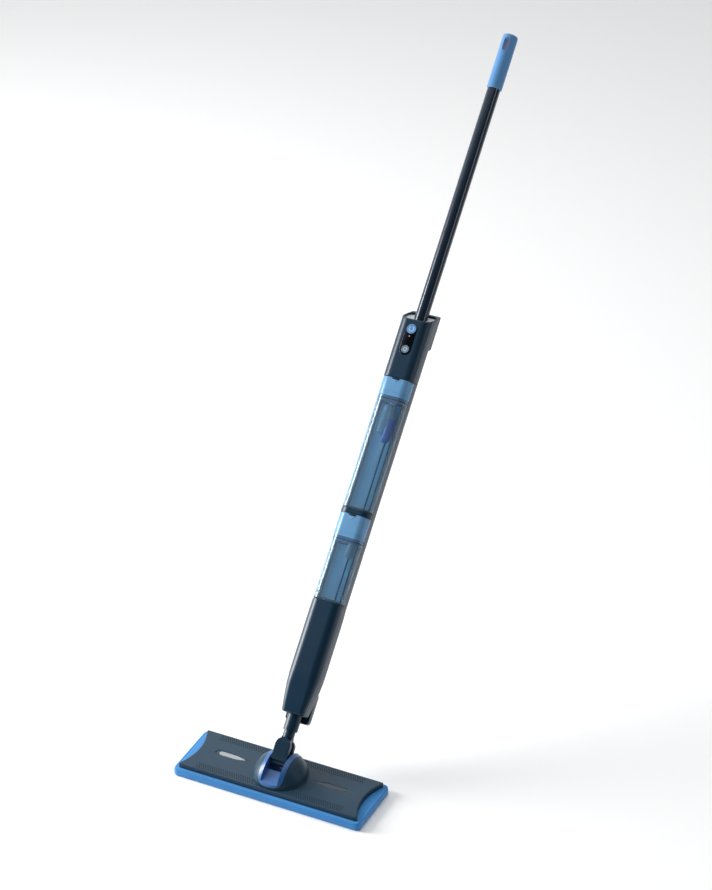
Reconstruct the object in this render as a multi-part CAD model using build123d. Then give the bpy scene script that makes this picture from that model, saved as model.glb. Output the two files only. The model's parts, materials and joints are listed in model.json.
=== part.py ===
"""Cordless flat mop with a clean-water tank, a dirty-water tank and a swivelling head.

Millimetres. The head lies along X with its pad on the floor (Z = 0), the front is -Y, and the
pole leans back by LEAN about the pitch axis. Everything on the pole is drawn in pole space:
Z runs up the pole from the pitch axis, X is unchanged, and the front of the pole is -Y.
"""
import os

from build123d import *

# ---- driving dimensions: whole object ----
LEAN = 43.0
PIVOT_Z = 45.0
FIT = 0.05
GAP = 0.3

# ---- head ----
PAD_LENGTH, PAD_DEPTH, PAD_HEIGHT = 336.0, 114.0, 14.0
PAD_CORNER = 8.0
PLATE_LENGTH, PLATE_DEPTH = 325.0, 102.0
PLATE_END_SAG = 14.0
PLATE_TIP_ROUND = 4.0
TRAY_TOP = 17.5
COVER_TOP = 22.0
COVER_SKIN = 2.2
STRIP_LENGTH, STRIP_WIDTH, STRIP_HEIGHT = 250.0, 22.0, 1.2
STRIP_Y = 30.0
WINDOW_TIP_X, WINDOW_WIDE_X, WINDOW_END_X = 58.0, 80.0, 120.0
WINDOW_HALF = 5.5
WINDOW_Y = 4.0
WINDOW_DEPTH = 1.4
WINDOW_RECESS = 0.4
NOZZLE_PITCH, NOZZLE_COUNT, NOZZLE_RADIUS = 28.0, 8, 1.0

# ---- swivel dome on the head ----
DOME_BASE_RADIUS = 46.0
DOME_TOP = 58.0
DOME_WALL = 3.0
RIM_PROUD = 0.8
CHANNEL_HALF = 15.0
LINER_HALF = 22.0
LINER_BOTTOM = 24.5
LINER_CORNER = 13.0
CHANNEL_FLOOR = 30.0
RAMP_FRONT, RAMP_FOOT_Z, RAMP_BACK, RAMP_TOP_Z = -44.0, 28.5, -18.0, 38.0
PITCH_PIN_RADIUS = 3.0
PITCH_PIN_HALF = 21.5

# ---- knuckle ----
BARREL_RADIUS = 9.5
BARREL_HALF = 14.2
ROLL_S = 25.0
EAR_RADIUS = 13.3
EAR_OUT, EAR_IN = 12.0, 5.3
WEB_TOP = 13.4
ROLL_PIN_RADIUS = 3.0
RIB_COUNT, RIB_PITCH, RIB_HEIGHT = 6, 4.0, 0.6
TONGUE_HALF = 5.0
TONGUE_RADIUS = 11.0

# ---- neck ----
STEM_RADIUS = 9.5
NECK_RADIUS = 12.0
STEM_START, NECK_START, STEM_END, NECK_END = 39.0, 51.0, 88.0, 104.0
STEM_BORE = 5.0

# ---- lower housing: (height, half width, front, back, front corner, back corner) ----
LOWER_TOP = 266.0
WALL = 2.4
LOWER_STATIONS = (
    (266.0, 27.0, 26.0, 16.5, 15.0, 13.0),
    (250.0, 27.35, 26.0, 17.4, 15.3, 13.0),
    (236.0, 27.5, 26.0, 18.0, 15.5, 13.0),
    (150.0, 27.5, 26.0, 18.0, 15.5, 13.0),
    (140.0, 27.1, 25.5, 18.0, 14.7, 12.8),
    (130.0, 26.4, 24.6, 17.8, 13.5, 12.5),
    (120.0, 25.5, 23.5, 17.3, 12.0, 12.0),
    (106.0, 23.8, 22.0, 16.4, 10.5, 11.0),
    (92.0, 21.8, 20.5, 15.2, 9.0, 10.0),
    (83.0, 20.7, 19.2, 14.6, 8.4, 9.6),
    (80.0, 19.8, 18.3, 14.2, 7.9, 9.2),
    (78.0, 18.0, 16.5, 13.4, 7.0, 8.5),
)
CASING_SPLIT = -7.8
FOOT_HALF, FOOT_FRONT, FOOT_BACK = 21.0, 12.5, 28.0
FOOT_BOTTOM, FOOT_TOP = 68.0, 122.0
FOOT_CORNER, FOOT_EDGE = 6.0, 5.0
PORT_S = 139.0
FLAP_HINGE_Y, FLAP_HINGE_S = 17.2, 148.2
FLAP_HALF, FLAP_THICK = 8.6, 1.2
CELL_BOTTOM, CELL_LENGTH, CELL_RADIUS, CELL_X, CELL_Y = 130.0, 65.2, 9.1, 9.6, -8.0
PUMP_S, PUMP_X, PUMP_Y, PUMP_RADIUS = 204.0, 12.3, -5.0, 10.5
BOARD_Y = 12.0
HOSE_Y = 10.2
HOSE_BOTTOM, HOSE_TOP = 256.0, 640.0

# ---- spine and tanks ----
SPINE_WALL = 2.4
SPINE_TOP = 648.0
WEB_Y, WEB_THICK = 4.5, 1.5
TANK_HALF, TANK_FRONT, TANK_STEP = 26.8, 25.8, -8.1
TANK_REAR_HALF, TANK_BACK = 24.3, 4.2
TANK_FRONT_CORNER, TANK_BACK_CORNER = 15.0, 5.0
TANK_WALL, TANK_FLOOR = 1.8, 2.5
RING_BOTTOM, RING_TOP = 414.0, 422.0
CLEAN_BASE, CLEAN_RIM, CLEAN_TOP = 422.4, 617.0, 647.6
DIRTY_BASE, DIRTY_RIM, DIRTY_TOP = 266.4, 375.0, 413.6
CAP_SKIN = 2.0
PLUG_DEPTH, PLUG_GAP, PLUG_WALL = 9.0, 0.2, 1.6
SEAL_DROP, SEAL_HEIGHT, SEAL_DEPTH = 4.0, 2.0, 1.0
OUTLET_Y = -4.0
CARTRIDGE_X, CARTRIDGE_Y = 3.0, -10.0
CARTRIDGE_RADIUS = 12.0
CARTRIDGE_TOP, CARTRIDGE_BOTTOM = 606.0, 540.0
DOSE_HEIGHT = 42.0
VENT_X, VENT_Y, VENT_RADIUS, VENT_BORE = 15.0, -3.0, 3.0, 1.6
INLET_RADIUS, INLET_BORE = 4.5, 3.3
FLOAT_X, FLOAT_Y, FLOAT_RADIUS, CAGE_RADIUS = 12.0, -14.0, 6.0, 7.6

# ---- upper housing ----
UPPER_BOTTOM = 648.0
UPPER_HALF, UPPER_FRONT, UPPER_BACK = 27.0, 26.0, 16.5
UPPER_FRONT_CORNER, UPPER_BACK_CORNER = 15.0, 13.0
RIM_FRONT, RIM_BACK = 752.0, 765.0
COLLAR_DROP, COLLAR_THICK = 3.0, 4.0
BOSS_HALF, BOSS_BOTTOM, BOSS_PROUD, BOSS_CORNER = 24.0, 708.0, 4.5, 6.0
RELEASE_HALF, RELEASE_BOTTOM, RELEASE_TOP = 9.0, 722.0, 750.0
RELEASE_BACK, RELEASE_PROUD = 15.5, 0.8
PANEL_RADIUS, PANEL_THICK, PANEL_SUNK = 9.8, 1.2, 0.1
POWER_S, MODE_S, LED_S = 732.5, 697.5, 720.0
POWER_RADIUS, MODE_RADIUS, LED_RADIUS = 8.2, 6.6, 1.1
BUTTON_PROUD, BUTTON_CLEAR = 0.6, 0.3
FLANGE_FRONT, FLANGE_BACK, STEM_TIP = 23.4, 22.2, 21.1
BOARD_FRONT, BOARD_THICK, SWITCH_HEIGHT = 18.3, 1.6, 1.6

# ---- handle ----
TUBE_RADIUS, TUBE_WALL = 11.0, 1.2
TUBE_BOTTOM, TUBE_TOP = 690.0, 1222.0
SOCKET_RADIUS = 13.2
SOCKET_BOTTOM, SOCKET_TOP = 682.0, 742.0
GRIP_RADIUS = 12.9
GRIP_BOTTOM, GRIP_TOP = 1163.0, 1259.0
GRIP_END_ROUND = 5.0
SLOT_WIDTH, SLOT_LENGTH, SLOT_TOP = 9.0, 23.0, 1251.0


def slab(x0, x1, y0, y1, z0, z1):
    """A box between two opposite corners."""
    return Pos((x0 + x1) / 2, (y0 + y1) / 2, (z0 + z1) / 2) * Box(x1 - x0, y1 - y0, z1 - z0)


def rod_z(radius, z0, z1, x=0.0, y=0.0):
    return Pos(x, y, (z0 + z1) / 2) * Cylinder(radius, z1 - z0)


def rod_y(radius, y0, y1, x=0.0, z=0.0):
    return Pos(x, (y0 + y1) / 2, z) * Rot(90, 0, 0) * Cylinder(radius, y1 - y0)


def rod_x(radius, x0, x1, y=0.0, z=0.0):
    return Pos((x0 + x1) / 2, y, z) * Rot(0, 90, 0) * Cylinder(radius, x1 - x0)


def rounded_section(half, front, back, front_corner, back_corner, inset=0.0):
    """Pole section: a rectangle with large front corners and smaller back corners."""
    depth = front + back - 2 * inset
    face = Pos(0, (back - front) / 2) * Rectangle(2 * (half - inset), depth)
    by_y = face.vertices().sort_by(Axis.Y)
    face = fillet(by_y[:2], max(front_corner - inset, 1.0))
    by_y = face.vertices().sort_by(Axis.Y)
    return fillet(by_y[-2:], max(back_corner - inset, 1.0))


def case_section(inset=0.0):
    """Section of the upper housing, of the spine's outside and of the top of the lower housing."""
    return rounded_section(
        UPPER_HALF, UPPER_FRONT, UPPER_BACK, UPPER_FRONT_CORNER, UPPER_BACK_CORNER, inset
    )


def tank_section(inset=0.0):
    """Tank section: flush with the housings in front, narrower where it slides into the spine."""
    front = rounded_section(TANK_HALF, TANK_FRONT, UPPER_BACK, TANK_FRONT_CORNER, 13.0, inset)
    front &= Pos(0, TANK_STEP - inset - 50) * Rectangle(200, 100)
    rear = rounded_section(TANK_REAR_HALF, TANK_FRONT, TANK_BACK, 1.0, TANK_BACK_CORNER, inset)
    rear &= Pos(0, TANK_STEP - inset - 1 + 50) * Rectangle(200, 100)
    return front + rear


def prism(face, z0, z1):
    return Pos(0, 0, z0) * extrude(face, z1 - z0)


def keep_front(shape, split_y):
    return shape & slab(-200, 200, -200, split_y, -50, 1500)


def keep_back(shape, split_y):
    return shape & slab(-200, 200, split_y, 200, -50, 1500)


# ---------------------------------------------------------------- head
def plate_prism(z0, z1, inset=0.0):
    """The plate's outline raised to a slab: straight long edges and concave ends."""
    half_y = PLATE_DEPTH / 2 - inset
    tip_x = PLATE_LENGTH / 2 - inset
    deep_x = tip_x - PLATE_END_SAG
    outline = [
        Line((-tip_x, -half_y), (tip_x, -half_y)),
        ThreePointArc((tip_x, -half_y), (deep_x, 0), (tip_x, half_y)),
        Line((tip_x, half_y), (-tip_x, half_y)),
        ThreePointArc((-tip_x, half_y), (-deep_x, 0), (-tip_x, -half_y)),
    ]
    plate = prism(make_face(outline), z0, z1)
    return fillet(plate.edges().filter_by(Axis.Z), PLATE_TIP_ROUND)


def window_outline(side, grow=0.0):
    """A long drop: a round outer end, straight sides, and a tail that narrows to the dome."""
    half = WINDOW_HALF + grow
    tip = Vector(side * (WINDOW_TIP_X - grow), WINDOW_Y)
    wide = side * WINDOW_WIDE_X
    end = side * (WINDOW_END_X - WINDOW_HALF)
    edges = [
        Line(tip, (wide, WINDOW_Y - half)),
        Line((wide, WINDOW_Y - half), (end, WINDOW_Y - half)),
        ThreePointArc((end, WINDOW_Y - half), (end + side * half, WINDOW_Y), (end, WINDOW_Y + half)),
        Line((end, WINDOW_Y + half), (wide, WINDOW_Y + half)),
        Line((wide, WINDOW_Y + half), tip),
    ]
    return make_face(edges)


def dome_ball(radius_change):
    height = DOME_TOP - COVER_TOP
    radius = (DOME_BASE_RADIUS**2 + height**2) / (2 * height)
    return Pos(0, 0, DOME_TOP - radius) * Sphere(radius + radius_change)


def u_profile(half, bottom, corner):
    """A U seen from the front, open at the top, run right through the dome along Y."""
    top = DOME_TOP + 20
    face = Pos(0, (bottom + top) / 2) * Rectangle(2 * half, top - bottom)
    face = fillet(face.vertices().sort_by(Axis.Y)[:2], corner)
    return Pos(0, 60, 0) * Rot(90, 0, 0) * extrude(face, 120)


def neck_channel():
    """The slot that the knuckle swings in: a ramp at the front and a level floor behind."""
    side_view = Polyline(
        (RAMP_FRONT - 20, RAMP_FOOT_Z),
        (RAMP_FRONT, RAMP_FOOT_Z),
        (RAMP_BACK, RAMP_TOP_Z),
        (RAMP_BACK, CHANNEL_FLOOR),
        (60, CHANNEL_FLOOR),
        (60, DOME_TOP + 20),
        (RAMP_FRONT - 20, DOME_TOP + 20),
        close=True,
    )
    face = Plane.YZ * make_face(side_view)
    return Pos(-CHANNEL_HALF, 0, 0) * extrude(face, 2 * CHANNEL_HALF, dir=(1, 0, 0))


def head():
    nodes = {}
    pad_face = RectangleRounded(PAD_LENGTH, PAD_DEPTH, PAD_CORNER)
    nodes["mop_pad"] = prism(pad_face, 0, PAD_HEIGHT)

    strips = [Pos(0, y, PAD_HEIGHT + STRIP_HEIGHT / 2) * Box(STRIP_LENGTH, STRIP_WIDTH, STRIP_HEIGHT)
              for y in (-STRIP_Y, STRIP_Y)]
    nodes["hook_strips"] = Compound(strips)

    tray = plate_prism(PAD_HEIGHT, TRAY_TOP)
    for strip in strips:
        tray -= strip
    first = -NOZZLE_PITCH * (NOZZLE_COUNT - 1) / 2
    for i in range(NOZZLE_COUNT):
        tray -= rod_z(NOZZLE_RADIUS, PAD_HEIGHT - 1, TRAY_TOP + 1, x=first + i * NOZZLE_PITCH)
    nodes["base_tray"] = tray

    cover = plate_prism(TRAY_TOP, COVER_TOP)
    cover = fillet(cover.faces().sort_by(Axis.Z)[-1].edges(), 1.6)
    inner = plate_prism(TRAY_TOP - 1, COVER_TOP - COVER_SKIN, 3.0)
    cover -= inner
    for side, name in ((-1, "flow_window_left"), (1, "flow_window_right")):
        seat = prism(window_outline(side), COVER_TOP - WINDOW_DEPTH, COVER_TOP + 1)
        cover -= seat
        nodes[name] = prism(window_outline(side), COVER_TOP - WINDOW_DEPTH, COVER_TOP - WINDOW_RECESS)
    nodes["base_cover"] = cover

    manifold = slab(-130, 130, -5, 5, TRAY_TOP, COVER_TOP - COVER_SKIN)
    manifold += slab(-14, 14, -12, 12, TRAY_TOP, COVER_TOP - COVER_SKIN)
    manifold -= slab(-127, 127, -2.6, 2.6, TRAY_TOP - 1, COVER_TOP - COVER_SKIN - 0.8)
    nodes["water_manifold"] = manifold

    above = slab(-60, 60, -60, 60, COVER_TOP, DOME_TOP + 10)
    u_block = u_profile(LINER_HALF, LINER_BOTTOM, LINER_CORNER)
    dome = dome_ball(0) + rod_z(DOME_BASE_RADIUS + 1.6, COVER_TOP, COVER_TOP + 1.0)
    nodes["swivel_dome"] = (dome & above) - dome_ball(-DOME_WALL) - u_block

    liner = (dome_ball(RIM_PROUD) & u_block) - neck_channel()
    bore = rod_x(PITCH_PIN_RADIUS, -PITCH_PIN_HALF, PITCH_PIN_HALF, z=PIVOT_Z)
    nodes["dome_liner"] = liner - bore
    nodes["pitch_pin"] = bore

    screws = []
    for x in (-110, -60, 60, 110):
        for y in (-38, 38):
            screw = rod_z(1.4, PAD_HEIGHT + STRIP_HEIGHT + 0.3, COVER_TOP - COVER_SKIN, x, y)
            screws.append(screw)
            nodes["base_tray"] -= screw
    nodes["base_screws"] = Compound(screws)
    return nodes


# ---------------------------------------------------------------- knuckle (pole space)
def knuckle():
    ear = rod_y(EAR_RADIUS, -EAR_OUT, EAR_OUT, z=ROLL_S)
    ear += slab(-EAR_RADIUS, EAR_RADIUS, -EAR_OUT, EAR_OUT, 0, ROLL_S)
    ear -= slab(-50, 50, -EAR_IN, EAR_IN, WEB_TOP, 60)
    fork = ear + rod_x(BARREL_RADIUS, -BARREL_HALF, BARREL_HALF)
    fork -= rod_x(PITCH_PIN_RADIUS + FIT, -50, 50)
    pin = rod_y(ROLL_PIN_RADIUS, -EAR_OUT + 1.5, EAR_OUT - 1.5, z=ROLL_S)
    fork -= pin
    for i in range(RIB_COUNT):
        z = WEB_TOP - 6 + i * RIB_PITCH
        fork += slab(-10, 10, -EAR_OUT - RIB_HEIGHT, -EAR_OUT, z, z + RIB_PITCH / 2)
    return {"knuckle_fork": fork, "roll_pin": pin}


# ---------------------------------------------------------------- neck (pole space)
def neck():
    stem = rod_y(TONGUE_RADIUS, -TONGUE_HALF, TONGUE_HALF, z=ROLL_S)
    stem += slab(-9, 9, -TONGUE_HALF, TONGUE_HALF, ROLL_S, STEM_START + 1)
    stem += rod_z(STEM_RADIUS, STEM_START, STEM_END)
    stem -= rod_y(ROLL_PIN_RADIUS + FIT, -50, 50, z=ROLL_S)
    stem -= rod_z(STEM_BORE, STEM_START + 4, STEM_END + 1)
    tube = rod_z(NECK_RADIUS, NECK_START, NECK_END) - rod_z(STEM_RADIUS, NECK_START - 1, NECK_END + 1)
    return {"neck_stem": stem, "neck_tube": tube}


# ---------------------------------------------------------------- lower housing (pole space)
def lower_body(inset):
    """Straight loft between neighbouring stations."""
    sections = [Pos(0, 0, height) * rounded_section(*sizes, inset) for height, *sizes in LOWER_STATIONS]
    return loft(sections, ruled=True)


def foot():
    """Hollow block behind the neck that takes the load when the pole is laid down."""
    depth = 2 * (FOOT_BACK - FOOT_FRONT)
    block = prism(Pos(0, FOOT_FRONT) * RectangleRounded(2 * FOOT_HALF, depth, FOOT_CORNER),
                  FOOT_BOTTOM, FOOT_TOP)
    block = fillet(block.edges().group_by(Axis.Z)[0], FOOT_EDGE)
    block = fillet(block.edges().group_by(Axis.Z)[-1], FOOT_EDGE)
    block = keep_back(block, FOOT_FRONT)
    half = FOOT_HALF - WALL
    return block - slab(-half, half, 18.5, FOOT_BACK - WALL, FOOT_BOTTOM + WALL, FOOT_TOP - WALL)


def cell(x, y, z0):
    """One 18650 cell: a can with its raised positive end."""
    can_top = z0 + CELL_LENGTH - 1.2
    return rod_z(CELL_RADIUS, z0, can_top, x, y) + rod_z(3.0, can_top, z0 + CELL_LENGTH, x, y)


def pump(x, y, z0, radius):
    """Motor can and pump head on one axis, with the rotor turning in both."""
    can = rod_z(radius, z0, z0 + 26, x, y) - rod_z(radius - 1.5, z0 + 1.5, z0 + 25, x, y)
    can -= rod_z(1.0 + FIT, z0 - 1, z0 + 27, x, y)
    casing = rod_z(radius + 0.6, z0 + 26, z0 + 38, x, y) - rod_z(radius - 1, z0 + 27.5, z0 + 36.5, x, y)
    casing -= rod_z(1.0 + FIT, z0 + 25, z0 + 28, x, y)
    casing += rod_z(2.6, z0 + 38, z0 + 44, x, y)
    casing -= rod_z(1.6, z0 + 36, z0 + 45, x, y)
    rotor = rod_z(1.0, z0 - 0.5, z0 + 30, x, y) + rod_z(radius - 3, z0 + 4, z0 + 21, x, y)
    rotor += rod_z(radius - 2.5, z0 + 29, z0 + 30.2, x, y)
    for turn in range(6):
        blade = slab(1, radius - 2.5, -0.6, 0.6, z0 + 30.2, z0 + 35)
        rotor += Pos(x, y, 0) * Rot(0, 0, 60 * turn) * blade
    return can, casing, rotor


def lower_housing():
    nodes = {}
    cavity = lower_body(WALL) & slab(-60, 60, -60, 60, 83, LOWER_TOP - WALL)
    top_hole = slab(-14, 16, 5.8, 14.2, LOWER_TOP - 4, LOWER_TOP + 1)
    neck_hole = rod_z(NECK_RADIUS, 40, NECK_END + 1)
    shell = lower_body(0) + foot() - cavity - top_hole - neck_hole
    port_hole = slab(-6, 6, 8, 30, PORT_S - 5, PORT_S + 5)
    seat_front = FLAP_HINGE_Y - FLAP_THICK / 2 - GAP
    flap_seat = slab(-9, 9, seat_front, 30, PORT_S - 9, FLAP_HINGE_S + 1.8)
    nodes["lower_housing_front"] = keep_front(shell, CASING_SPLIT)
    nodes["lower_housing_rear"] = keep_back(shell, CASING_SPLIT) - port_hole - flap_seat

    port = slab(-5.6, 5.6, 5, 15.4, PORT_S - 4.4, PORT_S + 4.4)
    nodes["charging_port"] = port - slab(-4, 4, 9, 17, PORT_S - 2.5, PORT_S + 2.5)
    flap_back = FLAP_HINGE_Y + FLAP_THICK / 2
    flap = slab(-FLAP_HALF, FLAP_HALF, flap_back - FLAP_THICK, flap_back, PORT_S - 8.6, FLAP_HINGE_S)
    nodes["port_flap"] = flap + rod_x(0.8, -FLAP_HALF, FLAP_HALF, y=FLAP_HINGE_Y, z=FLAP_HINGE_S)

    nodes["battery_cells"] = Compound([cell(x, CELL_Y, CELL_BOTTOM) for x in (-CELL_X, CELL_X)])
    cell_top = CELL_BOTTOM + CELL_LENGTH
    tray = slab(-19, 19, -15, 2, CELL_BOTTOM - 3, cell_top + 3)
    for x in (-CELL_X, CELL_X):
        tray -= rod_z(CELL_RADIUS, CELL_BOTTOM, cell_top, x, CELL_Y)
    tray -= slab(-20, 20, -30, CELL_Y, CELL_BOTTOM, cell_top)
    nodes["battery_tray"] = tray
    board = slab(-16, 16, BOARD_Y, BOARD_Y + 1.6, 150, 246)
    board += slab(-12, -2, BOARD_Y - 3.5, BOARD_Y, 200, 214)
    board += slab(3, 13, BOARD_Y - 2.5, BOARD_Y, 204, 212)
    board += rod_y(3.0, BOARD_Y - 5, BOARD_Y, x=9, z=226)
    board += rod_y(3.0, BOARD_Y - 5, BOARD_Y, x=-9, z=232)
    nodes["control_board"] = board
    for x, name in ((-PUMP_X, "water_pump"), (PUMP_X, "suction_pump")):
        can, casing, rotor = pump(x, PUMP_Y, PUMP_S, PUMP_RADIUS)
        nodes[name + "_motor"] = can
        nodes[name + "_head"] = casing
        nodes[name + "_rotor"] = rotor
    return nodes


# ---------------------------------------------------------------- spine and tanks (pole space)
def hose(x, radius, wall):
    outside = rod_z(radius, HOSE_BOTTOM, HOSE_TOP, x, HOSE_Y)
    return outside - rod_z(radius - wall, HOSE_BOTTOM - 1, HOSE_TOP + 1, x, HOSE_Y)


def spine():
    nodes = {}
    hollow = prism(case_section(SPINE_WALL), LOWER_TOP, SPINE_TOP)
    channel = prism(case_section(), LOWER_TOP, SPINE_TOP) - hollow
    nodes["spine_channel"] = keep_back(channel, CASING_SPLIT)
    nodes["spine_web"] = hollow & slab(-40, 40, WEB_Y, WEB_Y + WEB_THICK, LOWER_TOP, SPINE_TOP)
    ring = prism(tank_section(), RING_BOTTOM, RING_TOP)
    ring += slab(-18, 18, 0, WEB_Y, RING_BOTTOM, RING_TOP)
    nodes["divider_ring"] = ring - rod_z(3.0, RING_BOTTOM - 1, RING_TOP + 1, y=OUTLET_Y)
    gasket = rod_z(3.0, RING_TOP - 3, RING_TOP, y=OUTLET_Y)
    nodes["outlet_gasket"] = gasket - rod_z(1.6, RING_TOP - 4, RING_TOP + 1, y=OUTLET_Y)
    nodes["water_hose"] = hose(-8.0, 3.0, 0.9)
    nodes["suction_hose"] = hose(2.0, 3.6, 0.9)
    nodes["wire_harness"] = Compound([rod_z(1.0, 250, 680, x, HOSE_Y) for x in (9.0, 11.6, 14.2)])
    return nodes


def tank(base, rim, top):
    """Shell, cap and seal of one tank: the cap plugs into the open top of the shell."""
    plug_inset = TANK_WALL + PLUG_GAP
    outer = tank_section()
    inner = tank_section(TANK_WALL)
    plug_outer = tank_section(plug_inset)
    plug_inner = tank_section(plug_inset + PLUG_WALL)
    shell = prism(outer, base, rim) - prism(inner, base + TANK_FLOOR, rim + 1)
    cap = prism(outer, rim, top) + prism(plug_outer, rim - PLUG_DEPTH, rim)
    cap -= prism(plug_inner, rim - PLUG_DEPTH - 1, top - CAP_SKIN)
    seal_top = rim - SEAL_DROP
    seal = prism(inner, seal_top - SEAL_HEIGHT, seal_top)
    seal -= prism(tank_section(TANK_WALL + SEAL_DEPTH), seal_top - 10, seal_top + 10)
    return shell, cap - seal, seal


def clean_tank():
    shell, cap, seal = tank(CLEAN_BASE, CLEAN_RIM, CLEAN_TOP)
    shell -= rod_z(3.0, CLEAN_BASE - 1, CLEAN_BASE + 4, y=OUTLET_Y)
    valve = rod_z(3.0, CLEAN_BASE, CLEAN_BASE + 4, y=OUTLET_Y)
    valve += rod_z(5.0, CLEAN_BASE + TANK_FLOOR, CLEAN_BASE + 6, y=OUTLET_Y)
    x, y = CARTRIDGE_X, CARTRIDGE_Y
    sleeve = rod_z(CARTRIDGE_RADIUS, CARTRIDGE_BOTTOM, CARTRIDGE_TOP, x, y)
    sleeve += rod_z(6.5, CARTRIDGE_TOP, CLEAN_TOP - CAP_SKIN, x, y)
    sleeve = fillet(sleeve.edges().group_by(Axis.Z)[0], 5.0)
    room = rod_z(CARTRIDGE_RADIUS - 1.3, CARTRIDGE_BOTTOM + 1.5, CARTRIDGE_TOP - 1.3, x, y)
    room = fillet(room.edges().group_by(Axis.Z)[0], 4.0)
    sleeve -= room
    sleeve -= rod_z(4.5, CARTRIDGE_TOP - 2, CLEAN_TOP, x, y)
    liquid = room & slab(-40, 40, -40, 40, CARTRIDGE_BOTTOM, CARTRIDGE_BOTTOM + DOSE_HEIGHT)
    vent_bottom = CLEAN_RIM - PLUG_DEPTH - 1
    cap += rod_z(VENT_RADIUS, vent_bottom, CLEAN_TOP - 1, VENT_X, VENT_Y)
    cap -= rod_z(VENT_BORE, vent_bottom - 1, CLEAN_TOP - CAP_SKIN, VENT_X, VENT_Y)
    return {
        "clean_tank_shell": shell, "clean_tank_cap": cap, "clean_tank_seal": seal,
        "outlet_valve": valve, "cartridge_sleeve": sleeve, "cartridge_concentrate": liquid,
    }


def dirty_tank():
    shell, cap, seal = tank(DIRTY_BASE, DIRTY_RIM, DIRTY_TOP)
    shell += rod_z(INLET_RADIUS, DIRTY_BASE, DIRTY_RIM - 30, 0, OUTLET_Y)
    shell -= rod_z(INLET_BORE, DIRTY_BASE - 1, DIRTY_RIM, 0, OUTLET_Y)
    puck = rod_z(FLOAT_RADIUS, DIRTY_RIM - 27.7, DIRTY_RIM - 17.7, FLOAT_X, FLOAT_Y)
    cage = rod_z(CAGE_RADIUS, DIRTY_RIM - 30, DIRTY_TOP - CAP_SKIN, FLOAT_X, FLOAT_Y)
    cage -= rod_z(FLOAT_RADIUS + GAP, DIRTY_RIM - 28, DIRTY_RIM - 10, FLOAT_X, FLOAT_Y)
    return {
        "dirty_tank_shell": shell, "dirty_tank_cap": cap, "dirty_tank_seal": seal,
        "float_cage": cage, "float_puck": puck,
    }


# ---------------------------------------------------------------- upper housing (pole space)
def above_rim(drop):
    """Everything above the slanted rim plane, lowered by drop."""
    rise = RIM_BACK - RIM_FRONT
    slope = rise / (UPPER_FRONT + UPPER_BACK)
    y0, y1 = -60.0, 60.0
    z0 = RIM_FRONT - drop + slope * (y0 + UPPER_FRONT)
    z1 = RIM_FRONT - drop + slope * (y1 + UPPER_FRONT)
    side_view = Polyline((y0, z0), (y1, z1), (y1, 900), (y0, 900), close=True)
    return Pos(-60, 0, 0) * extrude(Plane.YZ * make_face(side_view), 120, dir=(1, 0, 0))


def button(s, radius):
    """A round button: cap, hidden retaining flange and a stem above its switch."""
    body = rod_y(radius, -UPPER_FRONT - BUTTON_PROUD, -FLANGE_FRONT, z=s)
    body = fillet(body.edges().sort_by(Axis.Y)[0], 0.5)
    body += rod_y(radius + 1.2, -FLANGE_FRONT, -FLANGE_BACK, z=s)
    return body + rod_y(2.0, -FLANGE_BACK, -STEM_TIP, z=s)


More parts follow.
